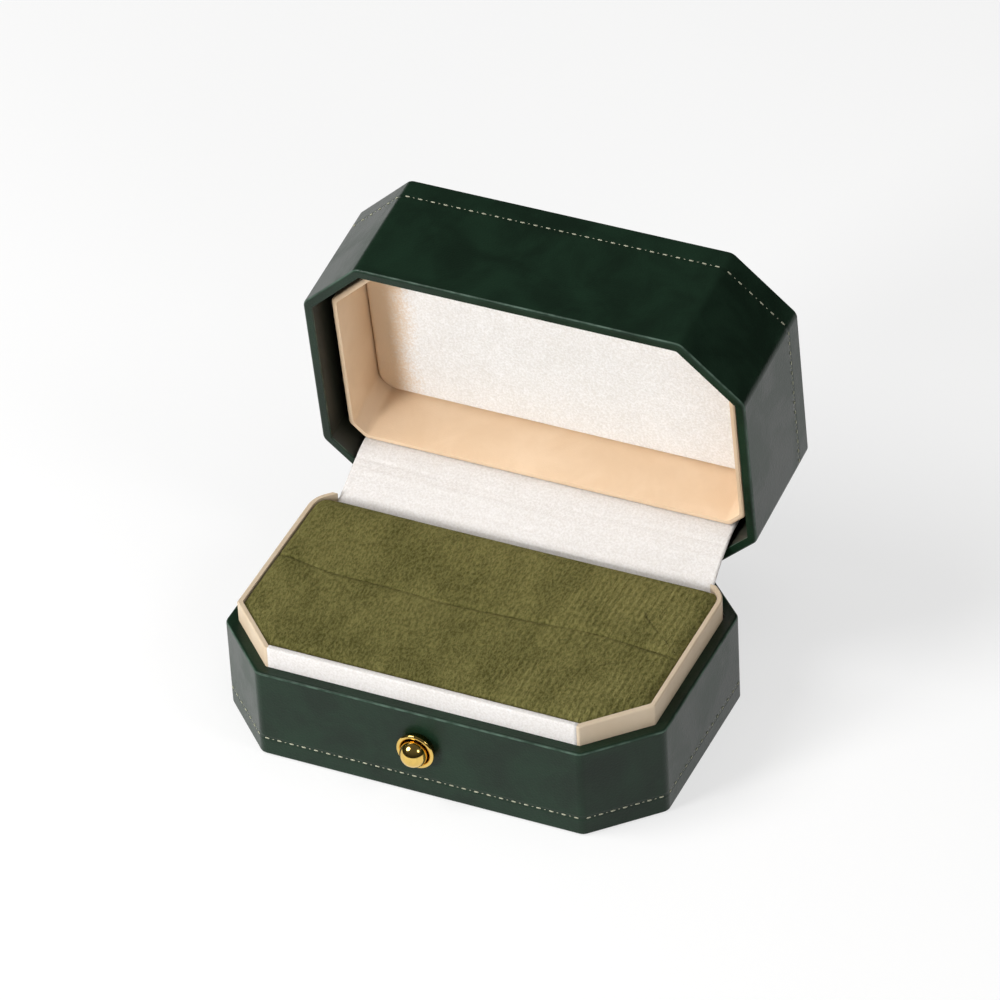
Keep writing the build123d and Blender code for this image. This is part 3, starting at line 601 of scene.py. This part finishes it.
def outer_edge(x, front):
    """Depth of the cushion's outer edge at x, read from the case's rounded outline."""
    s = sizes()
    corners = plan(s.cushion_inset, *cushion_limits())
    wide = np.abs(corners[:, 0]) > corners[:, 0].max() - 0.01 * MM
    front_round, end_round, back_round = 1.8 * MM, 4.2 * MM, 1.0 * MM
    radius = np.where(corners[:, 1] < 0, front_round, np.where(wide, end_round, back_round))
    path = rounded(corners, radius, 12)
    path = path[(path[:, 1] < 0) == front]
    path = path[np.argsort(path[:, 0], kind="stable")]
    return np.interp(x, path[:, 0], path[:, 1])


def cushion_half(name, front):
    """One half of the ring cushion. Points at the same stations along the box lie on its outer
    edge and on the slit. Rings of them rise up the side, which is drawn in a little towards
    the floor, then close in over the top towards the line halfway between the two edges, where
    they meet in pairs. Heights come from cushion_top."""
    s = sizes()
    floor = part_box("cushion_front" if front else "cushion_back")[0][2]
    end = LENGTH / 2 - s.cushion_inset
    half_gap, foot_in = 0.06 * MM, 0.45 * MM
    station = np.linspace(-1, 1, 300)
    station = np.sign(station) * end * (1 - (1 - np.abs(station)) ** 1.5)
    outer = outer_edge(station, front)
    slit = slit_line(station) + (-half_gap if front else half_gap)
    share = np.linspace(0, 1, 40)[1:-1]
    right = outer[-1] + (slit[-1] - outer[-1]) * share
    left = slit[0] + (outer[0] - slit[0]) * share
    x = np.concatenate([station, np.full(share.size, end),
                        station[::-1], np.full(share.size, -end)])
    y = np.concatenate([outer, right, slit[::-1], left])
    halfway = (outer + slit) / 2
    middle = np.concatenate([halfway, np.full(share.size, halfway[-1]), halfway[::-1],
                             np.full(share.size, halfway[0])])
    half = np.abs(outer - slit).max() / 2
    side = np.linspace(0, 1, 12)[1:-1]
    under = np.linspace(1, 0, 6)[:-1]
    taper = foot_in / half * np.cos(math.pi / 2 * side)
    inward = 1 - np.cos(np.linspace(0, math.pi / 2, 48))
    drawn = np.concatenate([under, taper, inward])
    ring_x = x * (1 - drawn[:, None] * half / end)
    ring_y = middle + (y - middle) * (1 - drawn[:, None])
    z = np.full(ring_x.shape, floor)
    first = under.size + side.size
    z[first:] = cushion_top(ring_x[first:], ring_y[first:], front)
    z[under.size:first] += (z[first] - floor) * side[:, None]
    return closed_surface(name, np.stack([ring_x, ring_y, z], axis=-1), last_face=False)


def cushion_top(x, y, front):
    """Height of the cushion's top: the shoulder plus the crown times the product of quarter
    ellipses of the distances to the ends, the cut corners, the outer long edge and, only part
    of the way down and not everywhere as far, the slit. Slow dents lie over it."""
    s = sizes()
    end_rise, corner_allowance = 0.25 * MM, 0.3 * MM
    end = LENGTH / 2 - s.cushion_inset
    shoulder = s.shoulder + end_rise * (x / end) ** 2
    run, reach = corner_line(s.cushion_inset)
    corner = reach - (s.corner_y * np.abs(x) + s.corner_x * np.abs(y)) / run
    low, high = cushion_limits()
    outer = y - low if front else high - y
    slit = slit_line(x) - y if front else y - slit_line(x)
    crown = quarter(end - np.abs(x), s.crown_width)
    crown *= quarter(corner + corner_allowance, s.crown_width)
    crown *= quarter(outer, s.crown_width)
    fall = 0.55 + 0.2 * waves(x, 0, SLIT_WAVES)
    crown *= 1 - fall * (1 - quarter(slit, s.slit_round))
    return shoulder + s.crown * crown + s.dent_depth * crown ** 2 * waves(x, y, DENTS)


class RINGBOX_OT_cushion(bpy.types.Operator):
    """Slit velvet cushion that the rings stand in"""
    bl_idname = "ringbox.cushion"
    bl_label = "Ring cushion"

    def execute(self, context):
        finish = velvet()
        for name, node, front in (("ring_cushion_front", "cushion_front", True),
                                  ("ring_cushion_back", "cushion_back", False)):
            piece = cushion_half(name, front)
            dress(piece, "base", finish, [node])
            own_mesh(piece)
        return {"FINISHED"}


class RINGBOX_OT_pad(bpy.types.Operator):
    """White suede pad on the ceiling of the lid's tray"""
    bl_idname = "ringbox.pad"
    bl_label = "Lid pad"

    def execute(self, context):
        piece = lid_pad("lid_suede_pad")
        c = colours()
        # painted shade: the pad's left-hand end is coloured tan, as the shade there is lit by light
        # bounced off the tan tray
        finish = suede("pad_suede", c.pad, c.pad_dark, 0.5 * MM, 0.05 * MM, 0.1, shaded_end=c.tan)
        dress(piece, "lid", finish, ["lid_pad"])
        return {"FINISHED"}


def lid_pad(name):
    """The pad on the tray's ceiling. Its rings are the tray's plan, scaled towards the middle;
    its face drops by a quarter ellipse at the edge and crowns a little towards the middle."""
    inset, back, draft = 6.05 * MM, 19.75 * MM, 2.0 * MM
    back_round, front_round = 3.8 * MM, 1.6 * MM
    ceiling, thick, edge = 40.0 * MM, 1.5 * MM, 1.0 * MM
    side, fullness = 0.35 * MM, 0.25 * MM
    corners = plan(inset, high=back)
    corners[corners[:, 1] > 0] -= (0, draft)
    radius = np.where(corners[:, 1] > 0, back_round, front_round)
    path = evenly(rounded(corners, radius, 12), 420)
    low, high = path[:, 1].min(), path[:, 1].max()
    middle, half = (low + high) / 2, (high - low) / 2
    inward = np.concatenate([[0.98, 0.0], np.linspace(0, 1, 26) ** 1.6 * 0.98])
    keep_y = (1 - inward)[:, None]
    keep_x = 1 - (1 - keep_y) * half / (LENGTH / 2 - inset)
    x = path[None, :, 0] * keep_x
    y = middle + (path[None, :, 1] - middle) * keep_y
    drop = quarter(inward * half, edge) * (thick - side) + side
    drop += fullness * inward
    drop[:2] = 0
    z = np.broadcast_to(ceiling - drop[:, None], x.shape).copy()
    z[2:] += 0.06 * MM * waves(x[2:], y[2:], DENTS)
    return closed_surface(name, opened(np.stack([x, y, z], axis=-1)))


STRIP_FOOT = 16.5 * MM  # height at which the strip starts behind the cushion
TRAY_RIM = np.array([0, 21.9, 26.5]) * MM  # where the strip meets the tray, in the shut box
# soft folds of the strip: place on its line, width, height in millimetres, phase along the box
FOLDS = ((0.37, 0.018, 0.22, 0.4), (0.48, 0.022, -0.2, 1.9), (0.61, 0.02, 0.22, 3.1),
         (0.71, 0.016, -0.16, 5.0))
# rows for waves(): how the strip sags unevenly along the box
STRIP_WAVES = ((14, 0, 0.5, 0.6), (37, 0, 2.0, 0.4))


def strip_line(count):
    """Middle line of the hinge strip in the YZ plane: straight up behind the cushion, then one
    cubic Bezier curve to the tray's rim, then straight on along the tray's back wall."""
    clear, rise, pull_back, glued_height = 0.4 * MM, 3.0 * MM, 4.5 * MM, 3.0 * MM
    back_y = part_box("cushion_back")[1][1] + clear
    arrive = opened(TRAY_RIM)[1:]
    pull = opened(TRAY_RIM - (0, 0, pull_back))[1:]
    leave = np.array([back_y, RIM])
    t = np.linspace(0, 1, count)[:, None]
    curve = ((1 - t) ** 3 * leave + 3 * t * (1 - t) ** 2 * (leave + (0, rise))
             + 3 * t ** 2 * (1 - t) * pull + t ** 3 * arrive)
    glued = opened(TRAY_RIM + (0, 0, glued_height))[1:]
    start = np.array([[back_y, STRIP_FOOT]])
    up = start + (curve[:1] - start) * np.linspace(0, 1, 14)[:-1, None]
    on = curve[-1:] + (glued - curve[-1:]) * np.linspace(0, 1, 8)[1:, None]
    return np.concatenate([up, curve, on])


def hinge_strip(name):
    """The suede strip over the hinge: the middle line moved by half the thickness to each side
    along its normal, as one closed loop, carried along the box. It is a little wider below, and
    its upper part lies a little to the right, as it was glued. Soft folds run along the box, as
    narrow bell curves of the place on the line, that fade in and out."""
    line = strip_line(60)
    ahead = np.gradient(line, axis=0)
    ahead /= np.linalg.norm(ahead, axis=1)[:, None]
    normal = np.stack([-ahead[:, 1], ahead[:, 0]], axis=1)
    overlap, spread, shift, sag = 0.75 * MM, 0.4 * MM, 0.4 * MM, 0.12 * MM
    upper_from, upper_over = 25 * MM, 8 * MM
    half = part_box("hinge_cover")[1][0] + overlap
    across = np.linspace(-half, half, 150)
    upper = quarter(line[:, 1] - upper_from, upper_over)
    wider = 1 + spread / half * (1 - upper)
    aside = shift * upper
    place = np.linspace(0, 1, len(line))
    lift = np.zeros((across.size, line.shape[0]))
    for centre, width, height, phase in FOLDS:
        at = centre + 0.012 * np.sin(across / half * 2.2 + phase)
        bell = np.exp(-((place[None] - at[:, None]) / width) ** 2)
        fade = 0.65 + 0.35 * np.sin(across / half * 4 + phase)
        lift += height * MM * bell * fade[:, None]
    slack = np.sin(np.clip((place - 0.25) / 0.6, 0, 1) * math.pi)
    lift += sag * slack * waves(across[:, None], 0, STRIP_WAVES)
    centre_line = line[None] + normal[None] * lift[..., None]
    near = centre_line + normal * sizes().strip_thickness / 2
    far = centre_line - normal * sizes().strip_thickness / 2
    loop = np.concatenate([near, far[:, ::-1]], axis=1)
    x = across[:, None] * wider + aside
    x = np.concatenate([x, x[:, ::-1]], axis=1)[..., None]
    length = float(np.linalg.norm(np.diff(line, axis=0), axis=1).sum())
    return closed_surface(name, np.concatenate([x, loop], axis=2)), 2 * half, length


class RINGBOX_OT_strip(bpy.types.Operator):
    """White suede strip that covers the hinge"""
    bl_idname = "ringbox.strip"
    bl_label = "Hinge strip"

    def execute(self, context):
        piece, width, length = hinge_strip("hinge_strip")
        c = colours()
        finish = suede("strip_suede", c.suede, c.suede_dark, 0.5 * MM, 0.05 * MM, 0.1)
        piece.data.materials.append(finish)
        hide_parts("hinge_cover")
        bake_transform(piece)
        return {"FINISHED"}


def folded_facing(name):
    """Suede folded over the collar's straight front: one closed loop in the YZ plane, up the
    outside, over two rounded ridges and down the inside, carried along the front. The lower
    edge is raised where the latch moves behind it."""
    low, high = (np.array(corner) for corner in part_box("collar_facing"))
    skin, ridge = 0.35 * MM, 0.42 * MM
    window, window_edge, raised = 4.1 * MM, 0.3 * MM, RIM - 0.5 * MM
    front_y, back_y, top = low[1], high[1], high[2]
    angle = np.linspace(0, math.pi / 2, 7)
    rise = np.linspace(0, 1, 9)[:-1]
    step = np.linspace(low[0], -window - window_edge, 40)
    x = np.concatenate([step, np.linspace(-window, window, 11), -step[::-1]])
    foot = np.where(np.abs(x) <= window, raised, low[2])[:, None]
    y = np.concatenate([np.full(rise.size, front_y), front_y + ridge - ridge * np.cos(angle),
                        back_y - ridge + ridge * np.sin(angle), np.full(rise.size, back_y),
                        np.full(2, back_y - skin), np.full(2, front_y + skin)])
    wall = foot + (top - ridge - foot) * rise
    crest = top + ridge * np.concatenate([np.sin(angle) - 1, np.cos(angle) - 1])
    crest = np.broadcast_to(crest, (x.size, crest.size))
    inner = np.broadcast_to(top - skin, foot.shape)
    z = np.concatenate([wall, crest, wall[:, ::-1], foot, inner, inner, foot], axis=1)
    x, y = np.broadcast_to(x[:, None], z.shape), np.broadcast_to(y, z.shape)
    return closed_surface(name, np.stack([x, y, z], axis=-1))


class RINGBOX_OT_facing(bpy.types.Operator):
    """White suede folded over the collar's front"""
    bl_idname = "ringbox.facing"
    bl_label = "Collar facing"

    def execute(self, context):
        piece = folded_facing("collar_front_suede")
        c = colours()
        finish = suede("facing_suede", c.suede, c.suede_dark, 0.5 * MM, 0.04 * MM, 0.1)
        dress(piece, "base", finish, ["collar_facing"])
        return {"FINISHED"}


def thread(height, pitch, length, width, offset):
    """A row of stitches round the case at a height. One stitch is a long bead: rings of
    points whose radius follows an ellipse along it. Copies stand at even steps along each
    straight wall, as near to the pitch as fills the wall, turned to the wall's direction.
    offset moves them on by a share of a step."""
    corners = plan(0.0)
    ahead = np.roll(corners, -1, axis=0) - corners
    span = np.linalg.norm(ahead, axis=1)
    ahead /= span[:, None]
    outward = np.stack([ahead[:, 1], -ahead[:, 0]], axis=1)
    counts = np.round(span / pitch).astype(int)
    wall = np.repeat(np.arange(len(corners)), counts)
    step = np.arange(counts.sum()) - np.repeat(np.cumsum(counts) - counts, counts)
    at = (step + 0.5 + offset) * span[wall] / counts[wall]
    corner_gap, proud = 0.3 * MM, 0.02 * MM
    keep = at < span[wall] - corner_gap
    wall, at = wall[keep], at[keep]
    spot = corners[wall] + ahead[wall] * at[:, None]
    rings, around = 7, 6
    along = -np.cos(np.linspace(0, math.pi, rings))
    turn = np.linspace(0, 2 * math.pi, around, endpoint=False)
    radius = np.sqrt(np.clip(1 - along ** 2, 0, 1)) ** 0.6
    bead_x = np.broadcast_to(along[:, None] * length / 2, (rings, around)).ravel()
    bead_y = (radius[:, None] * np.cos(turn)).ravel() * width * 0.32
    bead_z = (radius[:, None] * np.sin(turn)).ravel() * width / 2
    flat = (spot[:, None] + ahead[wall][:, None] * bead_x[None, :, None]
            + outward[wall][:, None] * (bead_y[None, :, None] + proud))
    upright = np.broadcast_to(height + bead_z[None, :, None], flat.shape[:2] + (1,))
    points = np.concatenate([flat, upright], axis=2)
    ring = np.arange(rings - 1)[:, None] * around
    here = np.arange(around)[None]
    there = (here + 1) % around
    quads = np.stack([ring + here, ring + there, ring + around + there, ring + around + here],
                     axis=-1).reshape(-1, 4)
    faces = quads[None] + np.arange(len(spot))[:, None, None] * rings * around
    return points.reshape(-1, 3), faces.reshape(-1, 4)


def stitch_row(name, height, pitch, turn_lid):
    """One row of saddle stitches: long stitches and a short sunk one between each pair."""
    s = sizes()
    long_points, long_faces = thread(height, pitch, s.stitch_length, s.stitch_width, 0.0)
    short_points, short_faces = thread(height, pitch, s.stitch_length * 0.4,
                                       s.stitch_width * 0.45, 0.5)
    points = np.concatenate([long_points, short_points])
    faces = np.concatenate([long_faces, short_faces + len(long_points)])
    if turn_lid:
        points = opened(points)
    mesh = bpy.data.meshes.new(name)
    mesh.from_pydata(points, [], faces.tolist())
    return finished(name, mesh)


class RINGBOX_OT_stitches(bpy.types.Operator):
    """Pale saddle stitches round the bottom of the base and the top of the lid"""
    bl_idname = "ringbox.stitches"
    bl_label = "Stitches"

    def execute(self, context):
        s, c = sizes(), colours()
        yarn = plain("pale_thread", tuple(c.thread), 0.7, 0.12 * MM, 0.03 * MM)
        base = stitch_row("stitches_base", s.base_row, s.base_pitch, False)
        dress(base, "base", yarn)
        lid = stitch_row("stitches_lid", lid_row_height(), s.lid_pitch, True)
        dress(lid, "lid", yarn)
        return {"FINISHED"}


def turned(name, profile, centre, around=96):
    """A surface of revolution about an axis along Y: each (radius, y) of a closed profile
    carried round a circle."""
    angle = np.linspace(0, 2 * math.pi, around, endpoint=False)[:, None]
    radius, y = profile[None, :, 0], profile[None, :, 1]
    x = centre[0] + radius * np.cos(angle)
    z = centre[1] + radius * np.sin(angle)
    rings = np.stack([x, np.broadcast_to(y, x.shape), z], axis=-1)
    count, around_profile = rings.shape[:2]
    here = np.arange(count)[:, None] * around_profile
    there = ((np.arange(count) + 1) % count)[:, None] * around_profile
    first = np.arange(around_profile)[None]
    second = (first + 1) % around_profile
    quads = np.stack([here + first, here + second, there + second, there + first],
                     axis=-1).reshape(-1, 4)
    mesh = bpy.data.meshes.new(name)
    mesh.from_pydata(rings.reshape(-1, 3), [], quads.tolist())
    return finished(name, mesh)


class RINGBOX_OT_button(bpy.types.Operator):
    """Polished push button in its rolled cup"""
    bl_idname = "ringbox.button"
    bl_label = "Push button"

    def execute(self, context):
        brass = metal("polished_brass", tuple(colours().brass), 0.09, 0.05)
        paint(brass, "button_knob")
        low, high = (np.array(corner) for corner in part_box("button_cup"))
        centre = ((low[0] + high[0]) / 2, (low[2] + high[2]) / 2)
        bead = 0.5 * MM
        inner = (high[0] - low[0]) / 2 - 2 * bead
        angle = np.linspace(math.pi, 0, 15)
        front = low[1] + bead
        roll = np.stack([inner + bead + bead * np.cos(angle), front - bead * np.sin(angle)], axis=1)
        wall, floor, hole = 0.4 * MM, high[1], 1.7 * MM
        rest = np.array([(inner + wall, front), (inner + wall, floor), (hole, floor),
                         (hole, floor - wall), (inner, floor - wall)])
        piece = turned("button_cup_rolled", np.concatenate([roll, rest]), centre)
        dress(piece, "base", brass, ["button_cup"])
        return {"FINISHED"}


def aimed(lamp, target):
    """Turns a lamp at a point: its own -Z looks along the line to the point."""
    x, y, z = np.array(target) - np.array(lamp.location)
    lamp.rotation_euler = (math.atan2(math.hypot(x, y), -z), 0, math.atan2(-x, y))


# name, place, size in metres, power in watts, and whether gloss shows it
LAMPS = (("lamp_key", (-0.67, -0.40, 0.95), 0.6, 7.2, True),
         ("lamp_front", (-0.59, -0.87, 0.34), 0.36, 9.6, False),
         ("lamp_right", (0.90, -0.18, 0.87), 0.35, 1.7, True),
         ("lamp_fill", (0.78, -0.74, 0.42), 0.5, 2.8, False),
         ("lamp_over", (0.0, 0.1, 1.3), 1.2, 2.5, False))


class RINGBOX_OT_stage(bpy.types.Operator):
    """White floor, soft lamps, the room's light and the camera"""
    bl_idname = "ringbox.stage"
    bl_label = "Stage"

    def execute(self, context):
        scene = context.scene
        corners = np.array([(-6, -6), (6, -6), (6, 6), (-6, 6)])
        mesh = bpy.data.meshes.new("floor")
        mesh.from_pydata(np.column_stack([corners, np.full(4, -0.05 * MM)]), [], [(0, 1, 2, 3)])
        floor = bpy.data.objects.new("floor", mesh)
        scene.collection.objects.link(floor)
        mesh.materials.append(floor_finish())
        for name, place, size, power, mirrored in LAMPS:
            light = bpy.data.lights.new(name, "AREA")
            light.shape, light.size, light.energy = "DISK", size, power
            lamp = bpy.data.objects.new(name, light)
            lamp.location = place
            lamp.visible_glossy = mirrored
            aimed(lamp, (0, 0, 0.03))
            scene.collection.objects.link(lamp)
        room(scene)
        camera = bpy.data.cameras.new("camera")
        camera.lens, camera.sensor_width = 245.73, 36.0
        camera.clip_start, camera.clip_end = 0.05, 50.0
        eye = bpy.data.objects.new("camera", camera)
        eye.location = (0.48614, -0.98738, 0.92933)
        eye.rotation_euler = [math.radians(angle) for angle in (51.4289, 2.5495, 23.9076)]
        scene.collection.objects.link(eye)
        scene.camera = eye
        scene.view_settings.view_transform = "Standard"
        return {"FINISHED"}


def floor_finish():
    """White floor: it keeps the object's shadow, and shows brighter to the camera and in
    mirrors than it lights the object."""
    material = bpy.data.materials.new("white_floor")
    material.use_nodes = True
    tree = material.node_tree
    tree.nodes.clear()
    seen = seen_directly(tree)
    lighting = add(tree, "ShaderNodeBsdfDiffuse", {"Color": (0.8, 0.8, 0.8, 1)})
    shadowed = add(tree, "ShaderNodeBsdfDiffuse", {"Color": (0.39, 0.39, 0.388, 1)})
    glow = add(tree, "ShaderNodeEmission", {"Color": (1, 1, 1, 1), "Strength": 0.62})
    shown = add(tree, "ShaderNodeAddShader", {0: shadowed.outputs[0], 1: glow.outputs[0]})
    both = add(tree, "ShaderNodeMixShader", {0: seen, 1: lighting.outputs[0], 2: shown.outputs[0]})
    add(tree, "ShaderNodeOutputMaterial", {"Surface": both.outputs[0]})
    return material


def seen_directly(tree):
    """1 for rays from the camera, off metal and through glass."""
    path = add(tree, "ShaderNodeLightPath").outputs
    mirrors = maths(tree, "MAXIMUM", path["Is Glossy Ray"], path["Is Transmission Ray"])
    return maths(tree, "MAXIMUM", path["Is Camera Ray"], mirrors)


def room(scene):
    """The room: dark near the horizon, a little lighter overhead."""
    world = bpy.data.worlds.new("room")
    scene.world = world
    world.use_nodes = True
    tree = world.node_tree
    tree.nodes.clear()
    point = add(tree, "ShaderNodeTexCoord").outputs["Generated"]
    up = add(tree, "ShaderNodeSeparateXYZ", {0: point}).outputs["Z"]
    tone = ramp(tree, up, 0.1, 0.9, 0.03, 0.12)
    sky = add(tree, "ShaderNodeBackground", {"Color": tone, "Strength": 1.0})
    add(tree, "ShaderNodeOutputWorld", {"Surface": sky.outputs[0]})


class RINGBOX_PT_panel(bpy.types.Panel):
    """Buttons for the pieces of the ring box"""
    bl_idname = "RINGBOX_PT_panel"
    bl_label = "Ring Box"
    bl_space_type = "VIEW_3D"
    bl_region_type = "UI"
    bl_category = "Ring Box"

    def draw(self, context):
        for operator in OPERATORS:
            self.layout.operator(operator.bl_idname)


OPERATORS = (RINGBOX_OT_case, RINGBOX_OT_lining, RINGBOX_OT_fittings, RINGBOX_OT_cushion,
             RINGBOX_OT_pad, RINGBOX_OT_strip, RINGBOX_OT_facing, RINGBOX_OT_stitches,
             RINGBOX_OT_button, RINGBOX_OT_stage)
CLASSES = (RingBoxSizes, RingBoxColours) + OPERATORS + (RINGBOX_PT_panel,)


def register():
    for kind in CLASSES:
        bpy.utils.register_class(kind)
    bpy.types.Scene.ring_box_sizes = bpy.props.PointerProperty(type=RingBoxSizes)
    bpy.types.Scene.ring_box_colours = bpy.props.PointerProperty(type=RingBoxColours)


def unregister():
    del bpy.types.Scene.ring_box_colours
    del bpy.types.Scene.ring_box_sizes
    for kind in reversed(CLASSES):
        bpy.utils.unregister_class(kind)


def main():
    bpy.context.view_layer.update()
    register()
    for operator in OPERATORS:
        family, name = operator.bl_idname.split(".")
        getattr(getattr(bpy.ops, family), name)()


if __name__ == "__main__":
    main()
